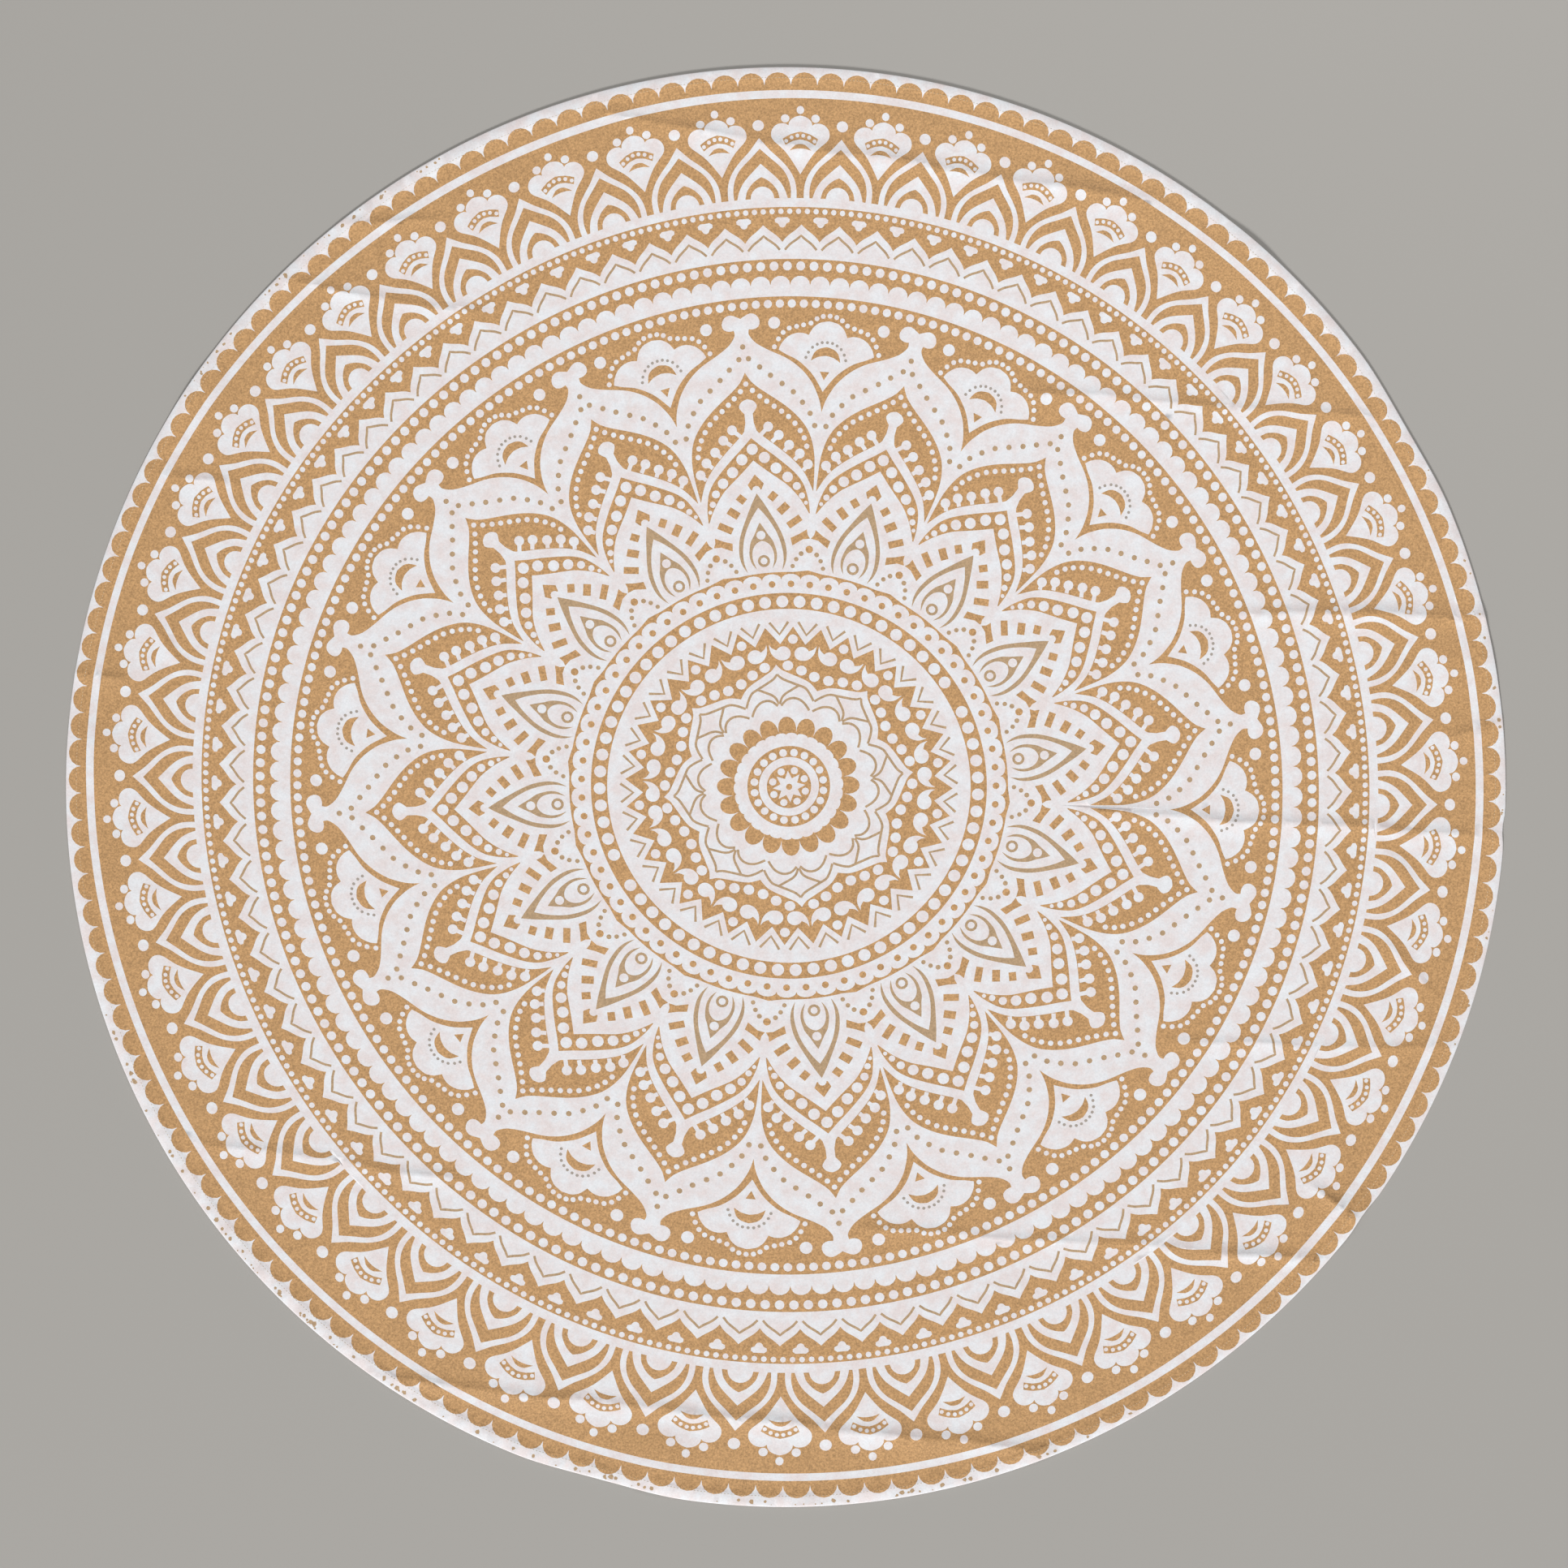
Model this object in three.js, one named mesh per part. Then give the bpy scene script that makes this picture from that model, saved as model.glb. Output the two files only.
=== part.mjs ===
// A round cotton tablecloth laid out flat, in millimetres, +Z up.
// The origin is under the middle of the cloth, on the surface that it lies on.
// The cloth is one sheet with a narrow turned hem. It lies flat on the surface but for
// the folds left from its packing and a few low swells near the rim, which lift off it.

import * as THREE from 'three';

// Driving dimensions
const CLOTH_RADIUS = 890;
const CLOTH_THICKNESS = 1.4;
const HEM_THICKNESS = 2.2;
const HEM_WIDTH = 15;
const HEM_STEP = 3;

// How finely the sheet is divided
const FLAT_RINGS = 12;
const RIM_EDGE = 34;
const SHORTEST_EDGE = 16;
const LIFT_TOLERANCE = 0.45;
const EDGE_SAMPLES = 8;
const SAME_PLACE = 1e-4;

// The packing folds: straight ridges from one end to the other, lifted by height and
// reaching so far to each side. Ends that stop inside the cloth fade out.
const FOLDS = [
  { place: 'top', from: [-251, 839], to: [-20, 806], height: 2.6, reach: 22 },
  { place: 'top, right half', from: [-60, 810], to: [483, 726], height: 3.4, reach: 26 },
  { place: 'upper right', from: [275, 496], to: [746, 460], height: 2.2, reach: 20 },
  { place: 'right, above the middle', from: [538, 222], to: [900, 218], height: 3.6, reach: 26 },
  { place: 'right, at the middle', from: [358, -24], to: [905, -56], height: 3.0, reach: 22 },
  { place: 'right, below the middle', from: [458, -311], to: [850, -319], height: 1.8, reach: 18 },
  { place: 'lower, right half', from: [81, -540], to: [540, -568], height: 2.0, reach: 20 },
  { place: 'lower right, to the rim', from: [500, -566], to: [690, -581], height: 3.6, reach: 24 },
  { place: 'bottom, left half', from: [-515, -723], to: [-60, -775], height: 2.6, reach: 22 },
  { place: 'bottom, right half', from: [-120, -768], to: [344, -817], height: 3.4, reach: 26 },
  { place: 'lower right corner', from: [640, -478], to: [740, -555], height: 4.4, reach: 22 },
  { place: 'lower left', from: [-750, -430], to: [-377, -484], height: 2.0, reach: 20 },
  { place: 'left, short', from: [-905, 148], to: [-800, 135], height: 2.8, reach: 18 },
  { place: 'left, upright', from: [-816, -40], to: [-836, -165], height: 2.2, reach: 20 },
  { place: 'left, slanted', from: [-785, 214], to: [-733, 132], height: 1.8, reach: 18 },
  { place: 'upper left, outer', from: [-800, 399], to: [-660, 374], height: 2.0, reach: 18 },
  { place: 'upper left, middle', from: [-640, 633], to: [-353, 586], height: 2.2, reach: 20 },
  { place: 'upper left, at the rim', from: [-560, 700], to: [-420, 705], height: 2.8, reach: 18 },
  { place: 'right, pinch', from: [805, 58], to: [900, 90], height: 2.8, reach: 18 },
  { place: 'right, slanted', from: [735, -66], to: [795, -134], height: 1.8, reach: 18 },
  { place: 'right, long slant', from: [730, -176], to: [822, -268], height: 2.0, reach: 20 },
];

// Low swells near the rim, where the cloth stands a little off the surface
const SWELLS = [
  { place: 'right, under the fold', at: [838, 150], height: 2.6, reach: 62 },
  { place: 'lower right, under the fold', at: [700, -540], height: 2.4, reach: 55 },
  { place: 'upper right rim', at: [566, 655], height: 2.0, reach: 60 },
  { place: 'upper left rim', at: [-722, 482], height: 2.0, reach: 60 },
  { place: 'left rim', at: [-850, 40], height: 2.0, reach: 55 },
  { place: 'bottom rim', at: [-160, -838], height: 2.2, reach: 60 },
];

// Where the rim draws in: angle counted from +X towards +Y, in degrees
const RIM_DIPS = [
  { place: 'upper right', angle: 30, depth: 3.6, spread: 7 },
  { place: 'bottom', angle: 255, depth: 3.8, spread: 7 },
  { place: 'right, at the fold', angle: -3.4, depth: 2.6, spread: 1.6 },
  { place: 'lower right corner', angle: -36.5, depth: 2.4, spread: 2.2 },
];

// A rounded bump: 1 in the middle, 0 and level at a distance of 1 or more
function bump(distance) {
  const inside = Math.max(0, 1 - distance * distance);
  return inside * inside;
}

function rimRadius(angle) {
  const turn = THREE.MathUtils.radToDeg(angle);
  let radius = CLOTH_RADIUS;
  for (const dip of RIM_DIPS) {
    const away = THREE.MathUtils.euclideanModulo(turn - dip.angle + 180, 360) - 180;
    radius -= dip.depth * bump(away / dip.spread);
  }
  return radius;
}

function rimDistance(x, y) {
  return rimRadius(Math.atan2(y, x)) - Math.hypot(x, y);
}

// The lift of one fold: a ridge across its line, fading over the last stretch of each end
function foldLift(fold, x, y) {
  const alongX = fold.to[0] - fold.from[0];
  const alongY = fold.to[1] - fold.from[1];
  const length = Math.hypot(alongX, alongY);
  const fromX = x - fold.from[0];
  const fromY = y - fold.from[1];
  const along = (fromX * alongX + fromY * alongY) / length;
  const across = (fromY * alongX - fromX * alongY) / length;
  const middle = length / 2;
  const fade = Math.min(middle, 2.5 * fold.reach);
  const pastEnd = Math.max(0, Math.abs(along - middle) - (middle - fade)) / fade;
  return fold.height * bump(across / fold.reach) * bump(pastEnd);
}

function swellLift(swell, x, y) {
  return swell.height * bump(Math.hypot(x - swell.at[0], y - swell.at[1]) / swell.reach);
}

// How far the underside of the cloth stands off the surface. Where folds and swells meet,
// the larger counts in full and the others only fill in, so that no peak builds up.
function lift(x, y) {
  const lifts = [
    ...FOLDS.map((fold) => foldLift(fold, x, y)),
    ...SWELLS.map((swell) => swellLift(swell, x, y)),
  ];
  return Math.hypot(...lifts);
}

function thickness(x, y) {
  const intoHem = (HEM_WIDTH + HEM_STEP - rimDistance(x, y)) / HEM_STEP;
  return THREE.MathUtils.lerp(CLOTH_THICKNESS, HEM_THICKNESS, THREE.MathUtils.clamp(intoHem, 0, 1));
}

// A point of the plan. The inset is its distance in from the rim where it lies on one of
// the hem's rings, and null anywhere else.
function planPoint(x, y, inset = null) {
  return { x, y, inset };
}

function ringPoint(angle, inset) {
  const radius = rimRadius(angle) - inset;
  return planPoint(radius * Math.cos(angle), radius * Math.sin(angle), inset);
}

// Joins two rings of points, each going once round from angle 0, with triangles
function joinRings(inner, outer, triangles) {
  let i = 0;
  let o = 0;
  while (i < inner.length || o < outer.length) {
    const innerPoint = inner[i % inner.length];
    const outerPoint = outer[o % outer.length];
    if ((o + 0.5) / outer.length <= (i + 0.5) / inner.length) {
      triangles.push([innerPoint, outerPoint, outer[(o + 1) % outer.length]]);
      o += 1;
    } else {
      triangles.push([innerPoint, outerPoint, inner[(i + 1) % inner.length]]);
      i += 1;
    }
  }
}

// The plan before the folds: rings of even triangles, with six more points on each than on
// the last, and then the hem's three rings
function flatPlan() {
  const triangles = [];
  const flatRadius = CLOTH_RADIUS - HEM_WIDTH - HEM_STEP;
  const middle = planPoint(0, 0);
  let last = [];
  for (let ring = 1; ring < FLAT_RINGS; ring += 1) {
    const count = 6 * ring;
    const radius = flatRadius * ring / FLAT_RINGS;
    const points = [];
    for (let i = 0; i < count; i += 1) {
      const angle = 2 * Math.PI * i / count;
      points.push(planPoint(radius * Math.cos(angle), radius * Math.sin(angle)));
    }
    if (ring === 1) {
      points.forEach((point, i) => triangles.push([middle, point, points[(i + 1) % count]]));
    } else {
      joinRings(last, points, triangles);
    }
    last = points;
  }
  const hemCount = 6 * FLAT_RINGS;
  for (const inset of [HEM_WIDTH + HEM_STEP, HEM_WIDTH, 0]) {
    const points = [];
    for (let i = 0; i < hemCount; i += 1) {
      points.push(ringPoint(2 * Math.PI * i / hemCount, inset));
    }
    joinRings(last, points, triangles);
    last = points;
  }
  return triangles;
}

function edgeLength(a, b) {
  return Math.hypot(b.x - a.x, b.y - a.y);
}

// Whether a straight edge would miss the lift of the cloth, or the round of the rim
function needsMiddle(a, b) {
  const length = edgeLength(a, b);
  if (a.inset === 0 && b.inset === 0 && length > RIM_EDGE) {
    return true;
  }
  if (length < 2 * SHORTEST_EDGE) {
    return false;
  }
  const liftA = lift(a.x, a.y);
  const liftB = lift(b.x, b.y);
  for (let sample = 1; sample < EDGE_SAMPLES; sample += 1) {
    const part = sample / EDGE_SAMPLES;
    const x = THREE.MathUtils.lerp(a.x, b.x, part);
    const y = THREE.MathUtils.lerp(a.y, b.y, part);
    const straight = THREE.MathUtils.lerp(liftA, liftB, part);
    if (Math.abs(lift(x, y) - straight) > LIFT_TOLERANCE) {
      return true;
    }
  }
  return false;
}

function middlePoint(a, b) {
  const x = (a.x + b.x) / 2;
  const y = (a.y + b.y) / 2;
  const sameRing = a.inset !== null && a.inset === b.inset;
  return sameRing ? ringPoint(Math.atan2(y, x), a.inset) : planPoint(x, y);
}

function numberPoints(triangles) {
  const numbers = new Map();
  for (const point of triangles.flat()) {
    if (!numbers.has(point)) {
      numbers.set(point, numbers.size);
    }
  }
  return numbers;
}

function edges(triangle) {
  const [a, b, c] = triangle;
  return [[a, b, c], [b, c, a], [c, a, b]];
}

function longestEdge(triangle) {
  return edges(triangle).reduce((longest, edge) => (
    edgeLength(edge[0], edge[1]) > edgeLength(longest[0], longest[1]) + SAME_PLACE ? edge : longest
  ));
}

// Cuts a triangle at the middles of its marked edges, the longest edge first
function cutTriangle(triangle, middleOf) {
  const marked = edges(triangle).filter(([a, b]) => middleOf(a, b));
  if (marked.length === 0) {
    return [triangle];
  }
  const [a, b, c] = marked.reduce((longest, edge) => (
    edgeLength(edge[0], edge[1]) > edgeLength(longest[0], longest[1]) + SAME_PLACE ? edge : longest
  ));
  const middle = middleOf(a, b);
  return [...cutTriangle([a, middle, c], middleOf), ...cutTriangle([middle, b, c], middleOf)];
}

// Cuts the triangles once wherever the lift or the rim asks for it. A triangle that is
// cut at all is also cut at its longest edge, so that no slivers form.
function refineOnce(triangles) {
  const numbers = numberPoints(triangles);
  const middles = new Map();
  const key = (a, b) => {
    const first = numbers.get(a);
    const second = numbers.get(b);
    return first < second ? `${first} ${second}` : `${second} ${first}`;
  };
  const middleOf = (a, b) => (numbers.has(a) && numbers.has(b) ? middles.get(key(a, b)) : undefined);
  const mark = (a, b) => middles.set(key(a, b), middlePoint(a, b));
  for (const triangle of triangles) {
    for (const [a, b] of edges(triangle)) {
      if (!middleOf(a, b) && needsMiddle(a, b)) {
        mark(a, b);
      }
    }
  }
  let spreading = true;
  while (spreading) {
    spreading = false;
    for (const triangle of triangles) {
      const [a, b] = longestEdge(triangle);
      if (!middleOf(a, b) && edges(triangle).some((edge) => middleOf(edge[0], edge[1]))) {
        mark(a, b);
        spreading = true;
      }
    }
  }
  return triangles.flatMap((triangle) => cutTriangle(triangle, middleOf));
}

function refinedPlan() {
  let triangles = flatPlan();
  let before = 0;
  while (triangles.length > before) {
    before = triangles.length;
    triangles = refineOnce(triangles);
  }
  return triangles;
}

// The closed sheet: the plan as underside and as top, and a wall round the rim
function clothGeometry() {
  const triangles = refinedPlan();
  const numbers = numberPoints(triangles);
  const count = numbers.size;
  const positions = new Float32Array(6 * count);
  for (const [point, number] of numbers) {
    const under = lift(point.x, point.y);
    const over = under + thickness(point.x, point.y);
    positions.set([point.x, point.y, under], 3 * number);
    positions.set([point.x, point.y, over], 3 * (number + count));
  }
  const index = [];
  const sides = new Set();
  for (const triangle of triangles) {
    const [a, b, c] = triangle.map((point) => numbers.get(point));
    index.push(c, b, a, a + count, b + count, c + count);
    sides.add(`${a} ${b}`).add(`${b} ${c}`).add(`${c} ${a}`);
  }
  for (const side of sides) {
    const [a, b] = side.split(' ').map(Number);
    if (!sides.has(`${b} ${a}`)) {
      index.push(a, b, b + count, a, b + count, a + count);
    }
  }
  const geometry = new THREE.BufferGeometry();
  geometry.setAttribute('position', new THREE.BufferAttribute(positions, 3));
  geometry.setIndex(index);
  geometry.computeVertexNormals();
  return geometry;
}

function makeCloth() {
  const cotton = new THREE.MeshStandardMaterial({ color: 0xe4d3bb, roughness: 0.9, metalness: 0 });
  cotton.name = 'printed cotton';
  const cloth = new THREE.Mesh(clothGeometry(), cotton);
  cloth.name = 'cloth';
  return cloth;
}

const group = new THREE.Group();
group.name = 'round tablecloth';
group.add(makeCloth());

export default group;
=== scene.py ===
"""A round cotton tablecloth with a gold print, laid out flat on a pale floor.

The cloth is one closed sheet. Its print is made of real regions of the sheet's upper side:
every ring, petal, dot and arch is drawn below as an outline in the print's own units, and
the outlines are painted over one another in order. The folds left from packing are ridges
of the sheet with the heights that they have in the CAD model. Each stands a little to one
side of the CAD model's ridge, so that its shaded side lies on the crease.
"""

import math
import random

import bpy
import numpy as np
from bpy.props import FloatProperty, FloatVectorProperty, PointerProperty
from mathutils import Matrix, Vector
from mathutils.geometry import delaunay_2d_cdt


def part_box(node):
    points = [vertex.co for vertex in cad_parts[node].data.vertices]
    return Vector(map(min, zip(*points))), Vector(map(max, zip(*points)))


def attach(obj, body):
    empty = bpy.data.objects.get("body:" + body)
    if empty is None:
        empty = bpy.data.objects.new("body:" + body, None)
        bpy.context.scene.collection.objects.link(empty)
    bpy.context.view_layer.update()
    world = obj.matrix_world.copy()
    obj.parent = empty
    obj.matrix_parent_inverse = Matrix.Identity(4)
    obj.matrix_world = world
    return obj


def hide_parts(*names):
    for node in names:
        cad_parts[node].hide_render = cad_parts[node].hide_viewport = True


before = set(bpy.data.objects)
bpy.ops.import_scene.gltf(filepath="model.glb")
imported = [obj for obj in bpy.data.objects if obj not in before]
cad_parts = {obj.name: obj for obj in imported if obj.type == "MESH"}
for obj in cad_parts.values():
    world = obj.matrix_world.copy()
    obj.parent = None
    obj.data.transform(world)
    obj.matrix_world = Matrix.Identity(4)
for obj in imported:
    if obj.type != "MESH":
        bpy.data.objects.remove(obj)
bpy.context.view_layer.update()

bl_info = {
    "name": "Round tablecloth",
    "version": (1, 0, 0),
    "blender": (4, 5, 0),
    "location": "3D View > Sidebar > Tablecloth",
    "description": "Builds a round printed tablecloth laid out flat, with its floor and lights",
    "category": "Add Mesh",
}

CLOTH_LOW, CLOTH_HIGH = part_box("cloth")

# Driving dimensions, in metres
CLOTH_RADIUS = round((CLOTH_HIGH.x - CLOTH_LOW.x) / 2, 3)
CLOTH_THICKNESS = 0.0014
HEM_THICKNESS = 0.0022
HEM_WIDTH = 0.015
STITCH_PITCH = 0.0042
STITCH_LENGTH = 0.0028
STITCH_WIDTH = 0.0007
STITCH_INSET = 0.0132

MM = 0.001
HEM_STEP = 3.0            # over how many millimetres the hem thins to one layer

# The packing folds, in millimetres: straight ridges from one end to the other, lifted by
# height and reaching so far to each side. Ends that stop inside the cloth fade out.
FOLD_COLUMNS = ("place", "start", "end", "height", "reach")
FOLDS = [dict(zip(FOLD_COLUMNS, row)) for row in (
    ("top", (-251, 839), (-20, 806), 2.6, 22),
    ("top, right half", (-60, 810), (483, 726), 3.4, 26),
    ("upper right", (275, 496), (746, 460), 2.2, 20),
    ("right, high", (538, 222), (900, 218), 3.6, 26),
    ("right, middle", (358, -24), (905, -56), 3.0, 22),
    ("right, low", (458, -311), (850, -319), 1.8, 18),
    ("lower, right half", (81, -540), (540, -568), 2.0, 20),
    ("lower right, rim", (500, -566), (690, -581), 3.6, 24),
    ("bottom, left half", (-515, -723), (-60, -775), 2.6, 22),
    ("bottom, right half", (-120, -768), (344, -817), 3.4, 26),
    ("lower right corner", (640, -478), (740, -555), 4.4, 22),
    ("lower left", (-750, -430), (-377, -484), 2.0, 20),
    ("left, short", (-905, 148), (-800, 135), 2.8, 18),
    ("left, upright", (-816, -40), (-836, -165), 2.2, 20),
    ("left, slanted", (-785, 214), (-733, 132), 1.8, 18),
    ("upper left, outer", (-800, 399), (-660, 374), 2.0, 18),
    ("upper left, middle", (-640, 633), (-353, 586), 2.2, 20),
    ("upper left, rim", (-560, 700), (-420, 705), 2.8, 18),
    ("right, pinch", (805, 58), (900, 90), 2.8, 18),
    ("right, slanted", (735, -66), (795, -134), 1.8, 18),
    ("right, long slant", (730, -176), (822, -268), 2.0, 20),
)]
FOLD_SIDE = -0.55         # how far a fold's middle stands off its line, as a part of its reach
CREST_SIDE = 0.3          # how far the crest stands off the fold's middle, as a part of its reach
FADE_REACHES = 2.5        # over how many reaches an end fades out
WANDER = 1.6              # how far a crest strays from its straight line, in millimetres
WANDER_LENGTH = 41.0
SECOND_WANDER = 0.6       # a second wave of the crest, as a part of the first, and how much quicker
SECOND_RATE = 2.3
UNEVEN = 0.14             # the part of a fold's height that comes and goes along it
UNEVEN_LENGTH = 29.0

# Low swells near the rim, in millimetres
SWELLS = [
    {"place": "right, under the fold", "at": (838, 150), "height": 2.6, "reach": 62},
    {"place": "lower right, under the fold", "at": (700, -540), "height": 2.4, "reach": 55},
    {"place": "upper right rim", "at": (566, 655), "height": 2.0, "reach": 60},
    {"place": "upper left rim", "at": (-722, 482), "height": 2.0, "reach": 60},
    {"place": "left rim", "at": (-850, 40), "height": 2.0, "reach": 55},
    {"place": "bottom rim", "at": (-160, -838), "height": 2.2, "reach": 60},
]

# Where the rim draws in, in millimetres: the angle is counted from +X towards +Y, in degrees
RIM_DIPS = [
    {"place": "upper right", "angle": 30, "depth": 3.6, "spread": 7},
    {"place": "bottom", "angle": 255, "depth": 3.8, "spread": 7},
    {"place": "right, at the fold", "angle": -3.4, "depth": 2.6, "spread": 1.6},
    {"place": "lower right corner", "angle": -36.5, "depth": 2.4, "spread": 2.2},
]

# How finely the sheet is divided, in millimetres. The first rings round its edge
RIM_POINTS = 480
EDGE_ROUNDS = (0.0, 0.3, 1.0)
TOP_GRID = 26.0
UNDER_GRID = 60.0
TOP_ROWS = {"along": 9.0, "across": (-1.0, -0.62, -0.3, -0.02, 0.16, 0.3, 0.42, 0.56, 0.76, 1.0)}
UNDER_ROWS = {"along": 26.0, "across": (-1.0, -0.3, 0.3, 1.0)}
LOOSE_ROOM = 0.5          # how far a loose point stays inside those rings, and the print
PRINT_ROOM = 0.4
SAME_PLACE = 1e-3         # points closer than this are one

# The colours, as the numbers of their materials
WHITE = 0
GOLD = 1
PLAIN_BACK = 2
DULL_GOLD = 3
GREY = 4

# One unit of the print on the cloth, in millimetres
PRINT_UNIT = 1.00378

# How far the print strays from true rings at some radii, all in its own units: it is grown,
# its middle lies up and to the right, and the rest are the waves round each ring. The values
# of this table and the next were fitted to the photo by a measuring program, and rounded.
# They weren't chosen by hand.
STRAY = {
    "radius": (0, 35, 88, 132, 180, 237, 308, 395, 482, 550, 620, 683, 742, 805, 846, 866),
    "grow": (0, -0.4, 0.5, 3.6, 2.2, 2.9, 3.8, 3.2, 4.4, 3.8, 2.8, 3.4, 4.0, 3.1, 0, 0),
    "up": (0.2, 0.7, 1.0, 1.5, 1.5, 1.5, 1.6, 1.5, 1.4, 2.1, 1.9, 1.6, 1.2, 0.5, 0, 0),
    "right": (4.1, 3.8, 3.4, 3.7, 3.8, 3.7, 3.1, 3.1, 3.2, 3.0, 3.0, 2.6, 2.0, 1.6, 1.0, 1.3),
    "cos2": (0, -0.4, -1.1, -1.9, -2.6, -3.1, -4.0, -4.7, -5.0, -4.8, -4.1, -3.5, -3.1, -2.9, -1.9, -1.9),
    "sin2": (0, 0.3, 0.1, -0.4, -0.5, -0.6, -1.0, -1.1, -1.6, -1.6, -1.8, -2.5, -2.7, -3.0, -2.2, -2.7),
    "cos3": (0, 0, 0, 0, 0, 0, 0, 0, 0, 0, 0, 0, 0, 0.6, 0, 0.8),
    "sin3": (0, 0, 0.5, 0.5, 0, 0, 0.3, 0.5, 0.7, 1.4, 1.8, 2.4, 2.0, 2.2, 2.2, 2.2),
    "cos4": (0, 0, 0, 0, 0, 0.3, 0.4, 0.6, 0.5, 1.0, 0.8, 0.8, 0.8, 1.4, 1.7, 1.4),
    "sin4": (0, 0, 0, 0, 0, 0, 0, 0.3, 0.7, 1.3, 1.3, 1.7, 1.4, 1.5, 1.5, 1.1),
    "cos5": (0, 0, 0, 0, 0, 0, 0, 0, 0, 0, 0, 0.3, 0.7, 1.1, 1.4, 1.4),
    "sin5": (0, 0, 0, 0, 0, 0, 0, 0, -0.3, -0.7, -0.6, -0.6, -0.5, -0.5, 0, -0.3),
}

# How far its angles stray, in degrees: they lean to the top, and twist
LEAN = {
    "radius": (0, 35, 88, 132, 237, 308, 395, 482, 550, 683, 742, 805, 848, 860),
    "cos1": (0.2, 0.2, 0.2, 0, 0, 0, -0.1, -0.15, -0.15, 0, 0, 0, 0, -0.1),
    "sin1": (0, -0.1, -0.5, -0.5, -0.9, -1.17, -1.54, -1.9, -2.1, -2.65, -2.95, -3.2, -3.2, -1.24),
    "cos2": (0.9, 0.9, -0.9, 0, -0.18, -0.19, -0.2, -0.18, -0.14, -0.14, -0.14, -0.17, -0.17, 0),
    "sin2": (0.9, 0.9, 0.6, 0.87, 0.8, 0.88, 0.77, 0.67, 0.63, 0.54, 0.54, 0.55, 0.4, 0),
    "cos3": (0, 0, 0, 0, 0, 0, 0.14, 0.18, 0.28, 0.33, 0.34, 0.31, 0.3, 0.1),
    "sin3": (0, 0, 0, 0, 0, 0, 0, 0, 0, 0.11, 0.16, 0.21, 0.2, 0.13),
}
STRAY_WAVES = (2, 3, 4, 5)
LEAN_WAVES = (1, 2, 3)

# Plain discs under the rings
DISCS = {
    "rim line": {"colour": WHITE, "radius": 856.9, "sides": 300},
    "border": {"colour": GOLD, "radius": 847.2, "sides": 300},
    "line under the arches": {"colour": WHITE, "radius": 722.1, "sides": 300},
    "trefoils": {"colour": GOLD, "radius": 711.3, "sides": 300},
    "double row": {"colour": GOLD, "radius": 648.5, "sides": 300},
    "petals": {"colour": GOLD, "radius": 602.8, "sides": 300},
    "hub": {"colour": GOLD, "radius": 263.2, "sides": 200},
    "hub, inner": {"colour": GOLD, "radius": 237.5, "sides": 200},
    "zigzag": {"colour": WHITE, "radius": 218.0, "sides": 200},
    "middle ring": {"colour": GOLD, "radius": 50.5, "sides": 72},
    "middle": {"colour": WHITE, "radius": 37.0, "sides": 60},
    "star": {"colour": GOLD, "radius": 27.3, "sides": 48},
}

# Rows of round dots: angles in degrees clockwise from the top, lengths in the print's units
ROWS_OF_DOTS = {
    "under the arches": {"colour": WHITE, "radius": 706.1, "size": 3.5, "count": 400, "first": 0.0},
    "outer double row": {"colour": WHITE, "radius": 640.0, "size": 5.7, "count": 240, "first": -0.22},
    "inner double row": {"colour": WHITE, "radius": 593.8, "size": 5.3, "count": 248, "first": 0.37},
    "hub, gold": {"colour": GOLD, "radius": 248.6, "size": 4.2, "count": 68, "first": 0.78},
    "hub, white": {"colour": WHITE, "radius": 227.0, "size": 7.4, "count": 68, "first": -1.87,
                   "missing": (12, 46)},
    "zigzag": {"colour": WHITE, "radius": 181.0, "size": 6.0, "count": 18, "first": 1.6},
    "middle ring": {"colour": WHITE, "radius": 42.6, "size": 4.8, "count": 20, "first": 7.6},
    "star": {"colour": WHITE, "radius": 21.0, "size": 4.6, "count": 8, "first": 17.0},
}

# Rows of rounded scallops that bulge outward
SCALLOPS = {
    "rim": {"colour": GOLD, "count": 164, "first": -0.77, "top": 878.5, "cusp": 863.0, "steps": 8},
    "double row": {"colour": WHITE, "count": 156, "first": -1.02, "top": 628.2, "cusp": 616.8, "steps": 7},
    "hub": {"colour": WHITE, "count": 68, "first": 0.78, "top": 261.0, "cusp": 254.0, "steps": 7},
    "lobes": {"colour": GOLD, "count": 20, "first": -1.3, "top": 86.4, "cusp": 68.0, "steps": 10},
    "ripple": {"colour": WHITE, "count": 30, "first": 3.0, "top": 66.6, "cusp": 64.0, "steps": 6},
}

# Rings that repeat one motif: how many and the angle of the first. Many of the first angles,
# here and in the two tables above, were measured on the photo by a program
REPEATS = {
    "fan": {"count": 48, "first": 1.04},
    "arch": {"count": 48, "first": 4.79},
    "trefoil": {"count": 90, "first": -0.78},
    "ogee": {"count": 90, "first": 1.22},
    "petal": {"count": 16, "first": -6.0},
    "cloud": {"count": 16, "first": 5.15},
    "zigzag": {"count": 36, "first": 1.6},
    "v line": {"count": 36, "first": -3.4},
    "comma pair": {"count": 18, "first": -8.4},
    "lotus tip": {"count": 8, "first": -5.9},
    "star point": {"count": 8, "first": -5.5},
}

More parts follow.
